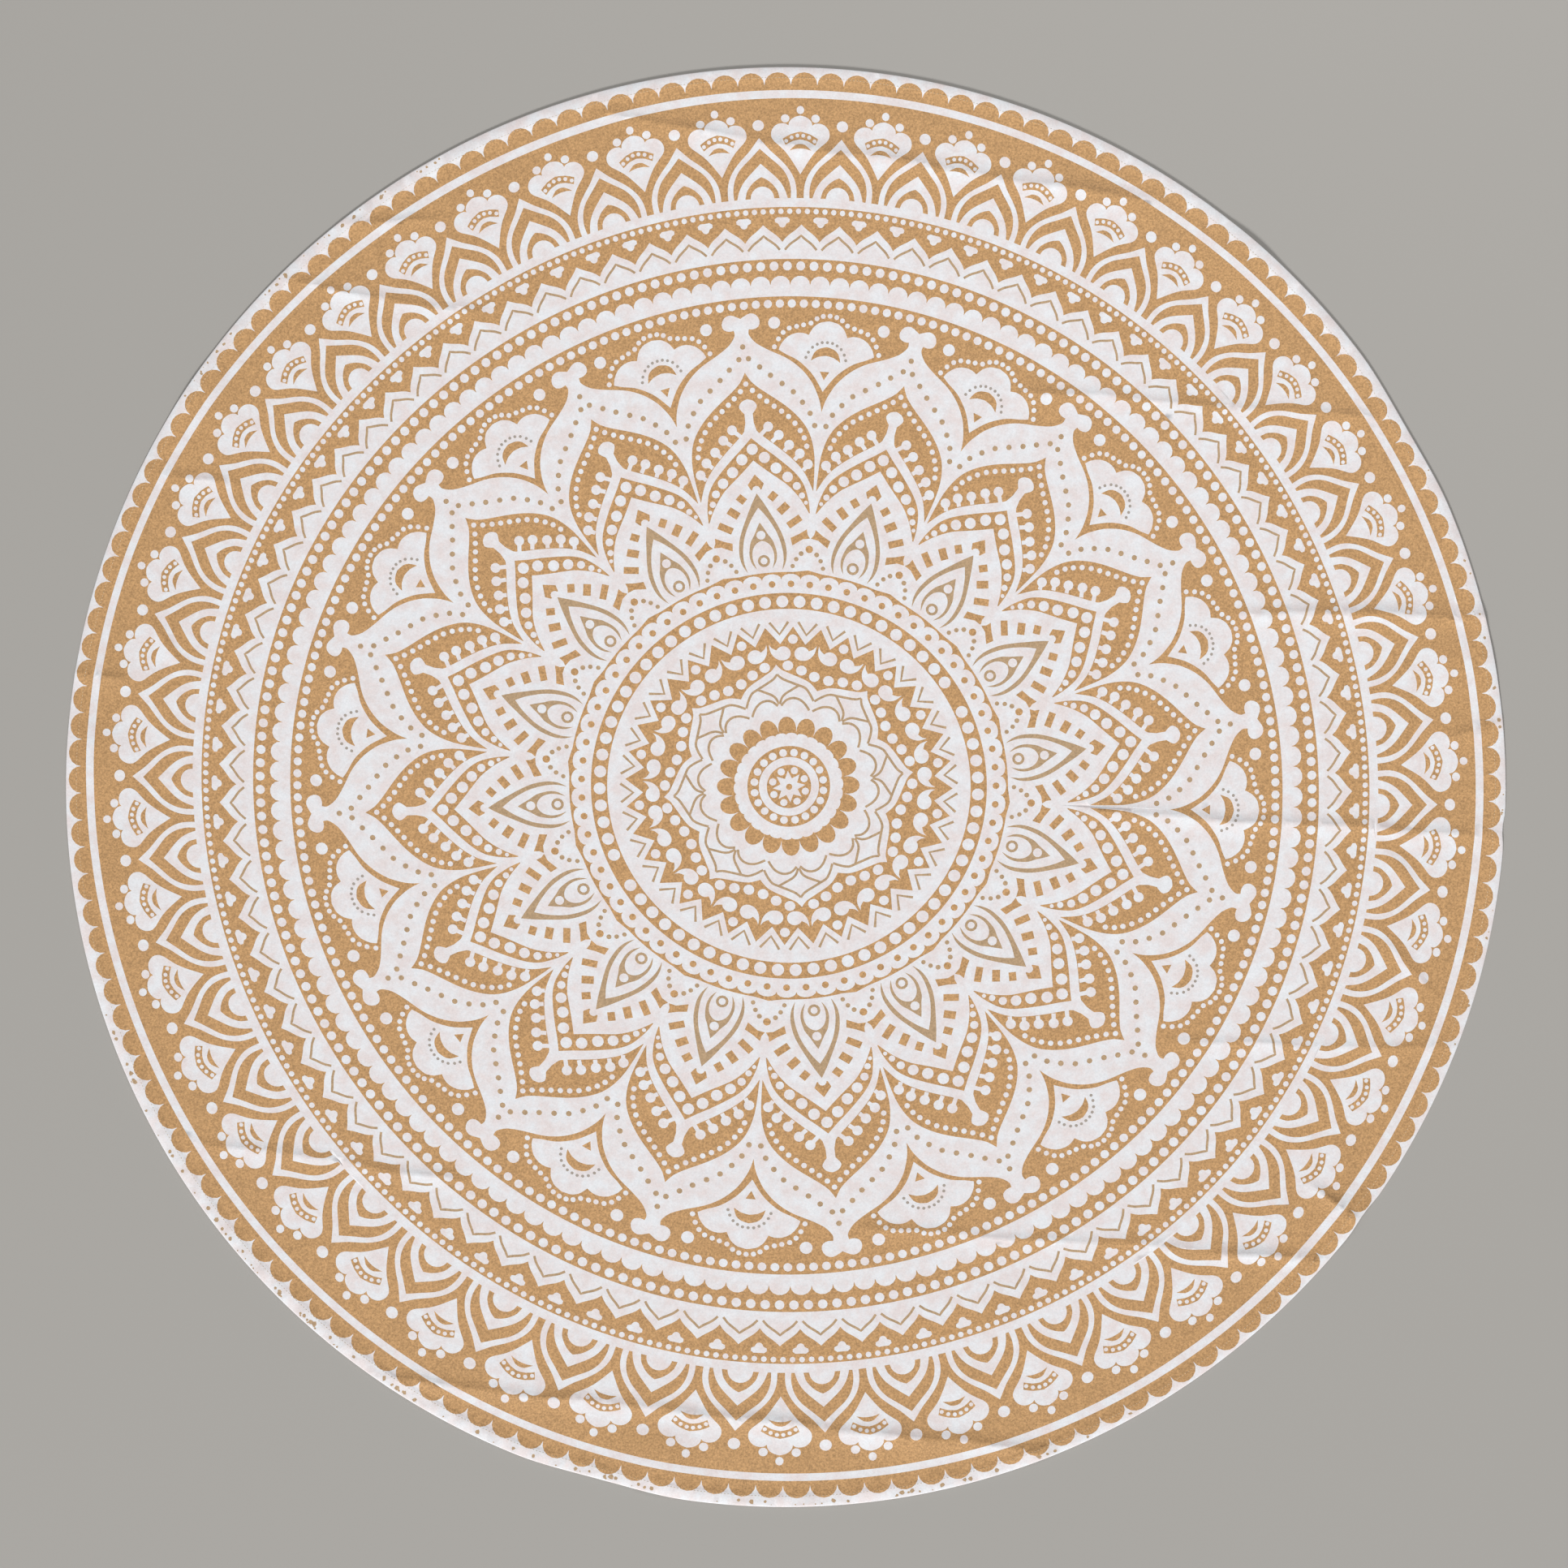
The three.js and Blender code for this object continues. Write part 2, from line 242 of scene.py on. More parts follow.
# Broken flecks of gold at the rim, where an older edge of the print was cut off: each stretch
# starts and ends at an angle in degrees clockwise from the top. Lengths in millimetres
FLECKS = [
    {"start": 62, "end": 112, "count": 20},
    {"start": 150, "end": 190, "count": 28},
    {"start": 190, "end": 252, "count": 72},
    {"start": 298, "end": 334, "count": 30},
]
FLECK_INSET = (2.6, 7.0)
FLECK_REACH = 4.4
FLECK_CORNERS = 6
FLECK_SPOKE = (0.5, 1.0)
FLECK_ROOM = 1.3
SEED = 11


def at(angle, radius):
    """The point at an angle, in degrees clockwise from the top, and a radius."""
    turn = math.radians(angle)
    return (radius * math.sin(turn), radius * math.cos(turn))


def turned(point, axis):
    """A point (across, out) of a motif whose axis points outward at an angle."""
    across, out = point
    turn = math.radians(axis)
    return (
        out * math.sin(turn) + across * math.cos(turn),
        out * math.cos(turn) - across * math.sin(turn),
    )


def curve(points, steps=2):
    """A smooth line through the points, with so many steps from each to the next."""
    padded = [points[0], *points, points[-1]]
    line = [points[0]]
    for before, start, end, after in zip(padded, padded[1:], padded[2:], padded[3:]):
        for step in range(1, steps + 1):
            t = step / steps
            line.append(tuple(
                0.5 * (2 * s + (e - b) * t + (2 * b - 5 * s + 4 * e - a) * t ** 2
                       + (3 * s - b - 3 * e + a) * t ** 3)
                for b, s, e, a in zip(before, start, end, after)
            ))
    return line


def mirrored(*strokes):
    """The closed outline whose right half is these smooth strokes, from its top downward."""
    half = []
    for stroke in strokes:
        half.extend(point for point in stroke if not half or point != half[-1])
    left = [(-across, out) for across, out in reversed(half) if across > SAME_PLACE]
    return [*half, *left]


def both_sides(outline):
    """An outline that stands to the right of its axis, and its mirror image."""
    return [outline, [(-across, out) for across, out in reversed(outline)]]


def ball(across, out, size, tall=1.0):
    """A round dot, or one that is so many times as tall as it is wide."""
    sides = max(6, round(4.5 + 1.1 * size))
    turns = [2 * math.pi * i / sides for i in range(sides)]
    return [(across + size * math.sin(t), out + tall * size * math.cos(t)) for t in turns]


def balls(places, size):
    """Dots at the places, which are given for the right side and the axis only."""
    dots = []
    for across, out in places:
        sides = (across,) if across == 0 else (across, -across)
        dots.extend(ball(side, out, size) for side in sides)
    return dots


def band(line, width):
    """The outline of a band of even width along an open line."""
    left = []
    right = []
    for i, (across, out) in enumerate(line):
        before = line[max(i - 1, 0)]
        after = line[min(i + 1, len(line) - 1)]
        run = math.hypot(after[0] - before[0], after[1] - before[1])
        side = (width / 2 * (after[1] - before[1]) / run, -width / 2 * (after[0] - before[0]) / run)
        left.append((across - side[0], out - side[1]))
        right.append((across + side[0], out + side[1]))
    return [*left, *reversed(right)]


def circle(radius, sides):
    """A disc's outline."""
    return [at(360 * i / sides, radius) for i in range(sides)]


def scalloped(count, first, top, cusp, steps):
    """A round outline with so many rounded scallops, the first one's top at an angle."""
    outline = []
    for i in range(count):
        for step in range(steps):
            t = math.pi * step / steps
            angle = first + 360 / count * (i - math.cos(t) / 2)
            outline.append(at(angle, cusp + (top - cusp) * math.sin(t)))
    return outline


def axes(row):
    """The angles at which a row's repeats stand."""
    return [row["first"] + 360 * i / row["count"] for i in range(row["count"])]


class Print:
    """The regions of the print in the order of painting, each one over those before it."""

    def __init__(self):
        self.outlines = []
        self.colours = []

    def paint(self, colour, outline):
        self.outlines.append(outline)
        self.colours.append(colour)

    def disc(self, name):
        row = DISCS[name]
        self.paint(row["colour"], circle(row["radius"], row["sides"]))

    def row_of_dots(self, name):
        row = ROWS_OF_DOTS[name]
        dot = ball(0, row["radius"], row["size"])
        for i, axis in enumerate(axes(row)):
            if i not in row.get("missing", ()):
                self.paint(row["colour"], [turned(point, axis) for point in dot])

    def scallops(self, name):
        row = dict(SCALLOPS[name])
        self.paint(row.pop("colour"), scalloped(**row))

    def repeat(self, name, motif):
        for axis in axes(REPEATS[name]):
            for colour, outline in motif:
                self.paint(colour, [turned(point, axis) for point in outline])

    def ring_of(self, name, colour, half):
        """One closed outline that repeats a half motif of (angle, radius) and its mirror image."""
        outline = []
        for axis in axes(REPEATS[name]):
            outline.extend(at(axis - angle, radius) for angle, radius in reversed(half[1:]))
            outline.extend(at(axis + angle, radius) for angle, radius in half[:-1])
        self.paint(colour, outline)


def in_colour(colour, outlines):
    """Outlines that are all of one colour."""
    return [(colour, outline) for outline in outlines]


# The motifs. Many points of their outlines weren't drawn by hand: a measuring program averaged
# the photo over a motif's repeats and printed where its gold meets its white, and those
# readings were entered here.
def fan():
    """A five-lobed fan with a beaded strip, a crescent and three dots for a crown."""
    centre_lobe = curve([(0, 824.3), (6, 822.8), (11, 819.8), (14.3, 815.5), (15, 811)])
    side_lobe = curve([(15, 811), (18.5, 813.6), (25, 813.9), (31, 811.5), (35.2, 806.5), (36.9, 801),
                       (36.1, 795), (32.3, 790)])
    flank = curve([(32.3, 790), (20.7, 780), (12.4, 770), (5.7, 760), (0, 751)])
    strip = mirrored(curve([(0, 803.4), (12, 800.2), (22.4, 794.2)]), [(18.7, 786)],
                     curve([(18.7, 786), (9.5, 791.4), (0, 793.6)]))
    crescent = mirrored(curve([(0, 787.8), (6, 786.6), (13.8, 779.5)]),
                        curve([(13.8, 779.5), (6, 781.6), (0, 782)]))
    crown = [ball(0, 831.6, 4.9, 1.12), ball(19.2, 820.4, 5.5), ball(-19.2, 820.4, 5.5)]
    beads = balls([(3.7, 798.4), (11, 796), (17.8, 791.4)], 2.6)
    return [
        (WHITE, mirrored(centre_lobe, side_lobe, flank)),
        (GOLD, strip),
        *in_colour(WHITE, beads),
        (GOLD, crescent),
        *in_colour(WHITE, crown),
    ]


def arch():
    """Two pointed arches, one in the other, over a dome, with a dot above."""
    outer = curve([(0, 796), (5, 790), (13.3, 780), (23.7, 770), (32.6, 760), (38.7, 750), (42.2, 740),
                   (43.2, 730), (42.7, 720)])
    outer_hole = curve([(0, 783), (13.8, 770), (24.7, 760), (31.5, 750), (35, 740), (36.2, 730),
                        (35.3, 720)])
    inner = curve([(0, 764.7), (15.8, 750), (24.3, 740), (29.3, 730), (32, 720)])
    inner_hole = curve([(0, 748.3), (6.4, 745), (12.5, 740), (16.6, 735), (19.6, 730), (21.8, 720)])
    return [
        (WHITE, mirrored(outer)),
        (GOLD, mirrored(outer_hole)),
        (WHITE, mirrored(inner)),
        (GOLD, mirrored(inner_hole)),
        (WHITE, ball(0, 721.8, 14.9)),
        (WHITE, ball(0, 812.2, 7.3)),
    ]


def trefoil():
    """A small three-lobed figure, one lobe inward."""
    cap = mirrored([(0, 698.8), (6, 699), (9.4, 696.5), (9, 693), (5, 691.2), (4.1, 689)],
                   curve([(4.1, 689), (2.6, 687.2), (0, 686.4)]))
    return [(WHITE, cap)]


def chevron():
    """A thin line under each ogee of the zigzag."""
    right = curve([(0, 676.6), (5, 672.4), (10, 668.9), (15, 664.9), (19.9, 659.2)])
    left = [(-across, out) for across, out in reversed(right[1:])]
    return [(DULL_GOLD, band([*left, *right], 2.9))]


def petal():
    """A large petal: a beaded band round an inner petal, which holds two more and a drop."""
    curl = curve([(0, 577.8), (5, 580.6), (12.5, 583.5), (20, 580.8), (23.8, 573), (21.6, 566), (15, 563.4),
                  (9.5, 564)])
    neck = curve([(9.5, 564), (8.6, 559), (10.6, 554), (17, 546), (28.5, 538), (39, 532), (51.5, 525),
                  (62, 517), (70.8, 508), (76.7, 500), (82.5, 490), (86.1, 480), (88.8, 470), (90, 460),
                  (90, 448)])
    band_beads = [(0, 543), (6, 528), (19, 516.5), (31.5, 505), (45, 493.5), (58, 482), (68, 468),
                  (76, 453.5), (80, 438)]
    field = curve([(0, 511.5), (6.7, 500), (17.2, 490), (29.9, 480), (42.4, 470), (53, 460), (61.5, 450),
                   (68, 440), (72.3, 430), (75, 417), (75.6, 400), (73.2, 380), (69.5, 358)])
    field_beads = [(0, 497.5), (7.5, 489), (16, 481), (24, 474), (32.5, 467), (41, 460), (49, 452.5),
                   (56, 443.5), (61.5, 434), (65.5, 424.5), (67.5, 414)]
    stem = mirrored(curve([(0, 478.9), (7, 476.5), (11.2, 470.5), (9, 465.5), (5.2, 461)]),
                    [(5.2, 461), (5.2, 450), (7.7, 440), (14, 431)])
    pins = [((12.5, 434), (22.5, 443)), ((25, 424), (34.5, 431.5)), ((39, 411), (46, 418)),
            ((50.5, 399), (58, 406)), ((60, 385), (66.5, 392))]
    second = curve([(0, 447), (7, 440), (17.2, 430), (28, 420.5), (38.5, 410.5), (48.5, 400), (56.4, 390),
                    (62, 380), (65.7, 370), (69.5, 357)])
    second_hole = curve([(0, 431.3), (11.8, 420), (23.4, 410), (34, 400), (43.9, 390), (52.1, 380),
                         (57.7, 370), (60.5, 360), (62.5, 345), (62.3, 331)])
    pearls = [((0, 417.5), 7), ((14, 406), 7), ((27, 391.5), 7), ((40, 379), 6.6), ((50, 366.5), 5.1),
              ((55, 354), 4), ((59, 344.5), 2.6)]
    third = curve([(0, 403.7), (14.9, 390), (26.5, 380), (37.9, 370), (46, 360), (52.5, 350), (57.5, 340),
                   (62, 329)])
    drop = curve([(0, 362.5), (7.3, 350), (14.7, 335), (21.7, 320), (27, 305), (28.9, 290), (28.2, 281),
                  (25.8, 273), (21.4, 265.5)])
    drop_hole = curve([(0, 344.5), (7.3, 335), (13.2, 325), (18.1, 315), (21.4, 305), (23.5, 295),
                       (24.4, 286), (23.9, 276), (21.2, 265.6)])
    core = curve([(0, 326), (3.5, 320), (8.7, 310), (12, 305), (14.3, 300), (16.5, 290), (16.6, 283),
                  (14.6, 275.5), (9.8, 268.5)])
    egg = curve([(0, 302.8), (4, 301.6), (8.2, 298.6), (11.4, 293.8), (13, 288), (13.2, 282), (12, 275.5),
                 (9.6, 268.6)])
    band_bead_size = 3.5
    field_bead_size = 3.4
    pin_width = 5
    pin_head_size = 6.2
    foot = (52.4, 261)
    inner_foot = (60, 300)
    shapes = [(WHITE, mirrored(curl, neck, [neck[-1], foot]))]
    shapes += in_colour(DULL_GOLD, balls(band_beads, band_bead_size))
    shapes += [(GOLD, mirrored(field)), (WHITE, mirrored(second, [inner_foot])), (WHITE, stem)]
    shapes += in_colour(WHITE, balls(field_beads, field_bead_size))
    for pin in pins:
        shapes += in_colour(WHITE, both_sides(band(pin, pin_width)))
        shapes += in_colour(WHITE, balls(pin[1:], pin_head_size))
    shapes += [(GOLD, mirrored(second_hole)), (WHITE, mirrored(third, [inner_foot]))]
    for place, size in pearls:
        shapes += in_colour(WHITE, balls([place], size))
    shapes += ladder()
    shapes += [(DULL_GOLD, mirrored(drop)), (WHITE, mirrored(drop_hole, [(21.2, 265.6), (16, 258)])),
               (DULL_GOLD, mirrored(core)),
               (WHITE, ball(0, 310, 5.6)), (WHITE, mirrored(egg, [(9.6, 268.6), (7, 263)])),
               (DULL_GOLD, ball(0, 278, 7.5)),
               (WHITE, ball(0, 278, 4.3))]
    return shapes


def ladder():
    """The blocks between the third petal's edge and the drop in it."""
    blocks = [
        {"at": (19.4, 357), "width": 9, "length": 10.8, "lean": 46},
        {"at": (30.7, 340.5), "width": 9.6, "length": 14.6, "lean": 52},
        {"at": (42.3, 322.7), "width": 8.6, "length": 18.6, "lean": 61},
    ]
    shapes = [(GOLD, mirrored([(0, 386.5), (10, 374), (6.5, 367)])), (WHITE, ball(0, 367, 5))]
    for block in blocks:
        lean = math.radians(block["lean"])
        half = (block["length"] / 2 * math.sin(lean), block["length"] / 2 * math.cos(lean))
        across, out = block["at"]
        ends = [(across - half[0], out - half[1]), (across + half[0], out + half[1])]
        shapes += in_colour(GOLD, both_sides(band(ends, block["width"])))
    wedge = [(35.5, 303), (46, 306.5), (56.5, 311.5), (56.5, 305), (59, 299.5), (50, 299.6), (36.5, 293.5)]
    return shapes + in_colour(GOLD, both_sides(wedge))


def cloud():
    """A three-lobed cloud between two petals, with its beads, crescent and big dots."""
    centre_lobe = curve([(0, 573.5), (10, 571.4), (15, 568.4), (20, 563.4), (24.3, 554.5)])
    side_lobe = curve([(24.3, 554.5), (31, 556.4), (40, 555.8), (50, 550.7), (57.5, 541), (59.8, 533.5)])
    flank = curve([(59.8, 533.5), (50, 528.8), (39.5, 525), (30.2, 520), (17.5, 510), (8.9, 500), (0, 487)])
    beads = [(0, 580), (8.5, 579), (16, 575.5), (23, 569.5), (32, 566.5), (40.5, 564), (49.5, 561),
             (56.5, 555), (61.5, 546.5), (65.5, 536.5)]
    crescent = mirrored(curve([(0, 541.5), (9, 539), (15.3, 533.5), (18.5, 523.5)]),
                        curve([(18.5, 523.5), (10, 528.8), (0, 530.8)]))
    specks = [(0, 547), (6.5, 546.5), (12.5, 544), (18, 540), (22.5, 533.5), (25, 527)]
    return [
        (WHITE, mirrored(centre_lobe, side_lobe, flank)),
        *in_colour(WHITE, balls(beads, 3.2)),
        *in_colour(WHITE, balls([(69, 566)], 7.6)),
        (GOLD, crescent),
        *in_colour(GREY, balls(specks, 2)),
        (GOLD, mirrored([(0, 511.3), (6, 511.3), (0, 501)])),
    ]


def base_dots():
    """The pyramid of dots between the feet of two petals."""
    rows = [((9.5, 286), 3.1), ((14.9, 278.7), 2.9), ((18.5, 269.8), 2.8)]
    sides = [shape for place, size in rows for shape in in_colour(DULL_GOLD, balls([place], size))]
    return [(GOLD, ball(0, 292, 4.7)), *sides]


def comma_pair():
    """Two commas whose tails curve up to meet on the axis."""
    centre = (17.2, 162)
    size = 9.0
    turns = [math.radians(angle) for angle in range(-58, 181, 17)]
    head = [(centre[0] + size * math.sin(t), centre[1] + size * math.cos(t)) for t in turns]
    belly = curve([head[-1], (11.5, 154), (6.8, 157.2), (3, 163), (1.6, 169), (1.6, 175.5)])
    back = curve([(1.6, 175.5), (4.1, 170.6), head[0]])
    return in_colour(WHITE, both_sides([*head, *belly[1:], *back[1:-1]]))


def v_line():
    """A thin V whose point is inward."""
    return [(DULL_GOLD, band([(-11.5, 202), (0, 187), (11.5, 202)], 3.2))]


def lotus_lines():
    """The thin lines of one of the lotus's tips, and the dots beside it."""
    rim = curve([(0, 136.5), (5, 130.8), (15, 125.4), (25, 120.4), (32, 116.5), (37, 109), (40.8, 99.8)], 3)
    diamond = curve([(25, 120.4), (15, 115.9), (8, 112.5), (3.5, 108.3), (0.6, 101.5)], 3)
    arc = curve([(2, 99.5), (8, 104.8), (15, 106.7), (22, 105.3), (28, 101), (32, 95.5), (35, 89.5)], 3)
    lines = [rim, diamond, arc]
    shapes = [shape for line in lines for shape in in_colour(DULL_GOLD, both_sides(band(line, 2.8)))]
    for angle, radius in ((5.45, 147), (12, 141.3), (18.8, 135.9)):
        shapes += in_colour(WHITE, balls([at(angle, radius)], 6.5))
    return shapes


def paint_border(art):
    """From the rim to the row of fans and arches."""
    art.scallops("rim")
    art.disc("rim line")
    art.disc("border")
    art.repeat("fan", fan())
    art.repeat("arch", arch())
    art.disc("line under the arches")


def paint_bands(art):
    """The beaded and scalloped bands between the fans and the petals."""
    art.disc("trefoils")
    art.row_of_dots("under the arches")
    art.repeat("trefoil", trefoil())
    ogee = [(0, 690), (0.42, 685.4), (0.7, 682.7), (1.35, 677.2), (1.7, 673.4), (2, 669)]
    art.ring_of("ogee", WHITE, ogee)
    art.repeat("ogee", chevron())
    art.disc("double row")
    art.row_of_dots("outer double row")
    art.scallops("double row")
    art.disc("petals")
    art.row_of_dots("inner double row")


def paint_hub(art):
    """From the feet of the petals to the zigzag and its commas."""
    art.disc("hub")
    art.scallops("hub")
    art.row_of_dots("hub, gold")
    art.disc("hub, inner")
    art.row_of_dots("hub, white")
    art.disc("zigzag")
    art.repeat("v line", v_line())
    art.ring_of("zigzag", GOLD, [(0, 196.5), (5, 175)])
    art.row_of_dots("zigzag")
    art.repeat("comma pair", comma_pair())


def paint_middle(art):
    """The lotus and all that is in it."""
    lotus = curve([(0, 149), (2, 142.7), (4.1, 139.4), (8.6, 134.5), (13.2, 130.9), (17.2, 127.6),
                   (20, 123.8), (22.5, 120)])
    art.ring_of("lotus tip", WHITE, lotus)
    art.repeat("lotus tip", lotus_lines())
    art.scallops("lobes")
    art.scallops("ripple")
    art.disc("middle ring")
    art.row_of_dots("middle ring")
    art.disc("middle")
    art.disc("star")
    art.row_of_dots("star")
    art.ring_of("star point", WHITE, [(0, 20), (22.5, 11)])
    art.paint(GOLD, ball(0, 0, 4))


def painted():
    """The whole print, from the rim to the middle."""
    art = Print()
    paint_border(art)
    paint_bands(art)
    art.repeat("cloud", cloud())
    art.repeat("petal", petal())
    art.repeat("cloud", base_dots())
    paint_hub(art)
    paint_middle(art)
    return art


def waves(table, orders, radius, angle):
    """The sum of a table's cosine and sine waves round a ring."""
    total = np.zeros_like(angle)
    for order in orders:
        for name, wave in ((f"cos{order}", np.cos), (f"sin{order}", np.sin)):
            total += np.interp(radius, table["radius"], table[name]) * wave(order * angle)
    return total


def on_cloth(points):
    """The print's own points, moved to where they lie on the cloth, in millimetres."""
    across, out = np.asarray(points, float).T
    true_radius = np.hypot(across, out)
    angle = np.arctan2(across, out)
    angle = angle + np.radians(waves(LEAN, LEAN_WAVES, true_radius, angle))
    columns = (STRAY[name] for name in ("grow", "right", "up"))
    grow, right, up = (np.interp(true_radius, STRAY["radius"], column) for column in columns)
    radius = true_radius + grow + waves(STRAY, STRAY_WAVES, true_radius, angle)
    x = PRINT_UNIT * (radius * np.sin(angle) + right)
    y = PRINT_UNIT * (radius * np.cos(angle) + up)
    room = rim_radius(np.arctan2(y, x)) - EDGE_ROUNDS[-1] - PRINT_ROOM
    keep = np.minimum(1.0, room / np.maximum(np.hypot(x, y), SAME_PLACE))
    return np.column_stack((x * keep, y * keep))


def bump(distance):
    """A rounded bump: 1 in the middle, 0 and level at a distance of 1 or more."""
    return np.maximum(0, 1 - distance ** 2) ** 2


def rim_radius(angle):
    """The radius of the cloth's rim at an angle counted from +X, in millimetres."""
    turn = np.degrees(angle)
    radius = np.full_like(turn, CLOTH_RADIUS / MM)
    for dip in RIM_DIPS:
        away = (turn - dip["angle"] + 180) % 360 - 180
        radius = radius - dip["depth"] * bump(away / dip["spread"])
    return radius


def rim_flecks(chance):
    """Small broken bits of gold close to the rim, as outlines in millimetres."""
    made = []
    for stretch in FLECKS:
        for _ in range(stretch["count"]):
            angle = math.radians(90 - chance.uniform(stretch["start"], stretch["end"]))
            inset = chance.uniform(*FLECK_INSET)
            reach = min(FLECK_REACH, inset - FLECK_ROOM) * chance.uniform(*FLECK_SPOKE)
            radius = rim_radius(np.array([angle]))[0] - inset
            turns = 2 * math.pi * np.arange(FLECK_CORNERS) / FLECK_CORNERS
            spokes = np.array([reach * chance.uniform(*FLECK_SPOKE) for _ in turns])
            x = radius * math.cos(angle) + spokes * np.cos(turns)
            y = radius * math.sin(angle) + spokes * np.sin(turns)
            made.append(np.column_stack((x, y)))
    return made


def fold_line(fold):
    """The length of a fold, and its direction."""
    run = np.subtract(fold["end"], fold["start"]).astype(float)
    length = float(np.hypot(*run))
    return length, run / length


def wander(fold, along):
    """How far a fold's crest strays to the side."""
    start = fold["start"][0]
    first = np.sin(along / WANDER_LENGTH + start)
    second = np.sin(along * SECOND_RATE / WANDER_LENGTH - start)
    return WANDER * (first + SECOND_WANDER * second)


def fold_lift(fold, x, y):
    """The lift of one fold: a crest with a short side and a long one, fading at each end."""
    length, (ux, uy) = fold_line(fold)
    from_x = x - fold["start"][0]
    from_y = y - fold["start"][1]
    along = from_x * ux + from_y * uy
    off_line = from_y * ux - from_x * uy - wander(fold, along)
    across = off_line / fold["reach"] - FOLD_SIDE - CREST_SIDE
    side = np.where(across > 0, 1 - CREST_SIDE, 1 + CREST_SIDE)
    crest = np.maximum(0, 1 - np.abs(across) / side) ** 2
    middle = length / 2
    fade = min(middle, FADE_REACHES * fold["reach"])
    past_end = np.maximum(0, np.abs(along - middle) - (middle - fade)) / fade
    uneven = 1 - UNEVEN + UNEVEN * np.sin(along / UNEVEN_LENGTH + fold["start"][1])
    return fold["height"] * crest * uneven * bump(past_end)


def lift(x, y):
    """How far the underside stands off the floor, in millimetres."""
    squares = sum(fold_lift(fold, x, y) ** 2 for fold in FOLDS)
    for swell in SWELLS:
        distance = np.hypot(x - swell["at"][0], y - swell["at"][1])
        squares = squares + (swell["height"] * bump(distance / swell["reach"])) ** 2
    return np.sqrt(squares)


def heights(x, y, sizes):
    """The underside and the top of the cloth, with its hem and its rounded edge."""
    inset = rim_radius(np.arctan2(y, x)) - np.hypot(x, y)
    into_hem = np.clip((sizes.hem_width / MM + HEM_STEP - inset) / HEM_STEP, 0, 1)
    thick = sizes.thickness / MM + into_hem * (sizes.hem_thickness - sizes.thickness) / MM
    under = lift(x, y)
    edge = np.clip(1 - inset / EDGE_ROUNDS[-1], 0, 1)
    half = thick / 2 * np.sqrt(np.maximum(0, 1 - edge ** 2))
    return under + thick / 2 - half, under + thick / 2 + half


def ring_points(inset):
    """A ring of points that follows the rim, so far in from it."""
    angle = np.linspace(0, 2 * math.pi, RIM_POINTS, endpoint=False)
    radius = rim_radius(angle) - inset
    return np.column_stack((radius * np.cos(angle), radius * np.sin(angle)))


def drape_points(grid, rows):
    """An even grid over the cloth, and rows of points along every fold."""
    room = CLOTH_RADIUS / MM - HEM_STEP
    steps = np.arange(-room, room, grid)
    x, y = np.meshgrid(steps, steps)
    x[::2] += grid / 2
    places = [np.column_stack((x.ravel(), y.ravel()))]
    for fold in FOLDS:
        length, (ux, uy) = fold_line(fold)
        along = np.arange(0, length, rows["along"])
        for part in rows["across"]:
            across = (part + FOLD_SIDE) * fold["reach"] + wander(fold, along)
            places.append(np.column_stack((
                fold["start"][0] + along * ux - across * uy,
                fold["start"][1] + along * uy + across * ux,
            )))
    places = np.vstack(places)
    inset = rim_radius(np.arctan2(places[:, 1], places[:, 0])) - np.hypot(places[:, 0], places[:, 1])
    return places[inset > EDGE_ROUNDS[-1] + LOOSE_ROOM]


def triangulated(rings, outlines, loose):
    """Triangles over the cloth. The rings are kept as edges, the first of them is the rim and
    the loose points are kept too. Each triangle comes with the last outline that it lies in."""
    points = []
    edges = []
    faces = []
    for ring in rings:
        first = len(points)
        points.extend(ring)
        edges.extend((first + i, first + (i + 1) % len(ring)) for i in range(len(ring)))
    faces.append(list(range(len(rings[0]))))
    for outline in outlines:
        first = len(points)
        points.extend(outline)
        numbers = list(range(first, first + len(outline)))
        nxt = np.roll(outline, -1, axis=0)
        area = np.sum(outline[:, 0] * nxt[:, 1] - nxt[:, 0] * outline[:, 1])
        faces.append(numbers if area > 0 else numbers[::-1])
    points.extend(loose)
    vectors = [Vector((float(x), float(y))) for x, y in points]
    made = delaunay_2d_cdt(vectors, edges, faces, 1, SAME_PLACE, True)
    places, _, triangles, from_points, _, from_faces = made
    places = np.array([(v.x, v.y) for v in places])
    rim = {}
    for number, sources in enumerate(from_points):
        for source in sources:
            if source < len(rings[0]):
                rim[source] = number
    inside = [(triangle, max(sources)) for triangle, sources in zip(triangles, from_faces) if sources]
    triangles, last = zip(*inside)
    return places, triangles, last, [rim[i] for i in range(len(rings[0]))]


def node(tree, kind, **inputs):
    """A shader node with its inputs set: a socket is linked and a value is set."""
    made = tree.nodes.new(kind)
    for name, value in inputs.items():
        socket = made.inputs[name.replace("_", " ")]
        if isinstance(value, bpy.types.NodeSocket):
            tree.links.new(value, socket)
        else:
            socket.default_value = value
    return made


def linear(colour):
    """An sRGB colour of 0 to 255 as Blender's linear one."""
    parts = [channel / 255 for channel in colour]
    return tuple(p / 12.92 if p <= 0.04045 else ((p + 0.055) / 1.055) ** 2.4 for p in parts)


def mixed(tree, factor, first, second):
    """Two colours mixed by a factor."""
    made = tree.nodes.new("ShaderNodeMix")
    made.data_type = "RGBA"
    tree.links.new(factor, made.inputs[0])
    for socket, value in ((made.inputs[6], first), (made.inputs[7], second)):
        if isinstance(value, bpy.types.NodeSocket):
            tree.links.new(value, socket)
        else:
            socket.default_value = (*value, 1.0)
    return made.outputs[2]


def spread(tree, value, low, high):
    """A value between low and high stretched to the full range."""
    made = node(tree, "ShaderNodeMapRange", Value=value, From_Min=low, From_Max=high)
    return made.outputs["Result"]


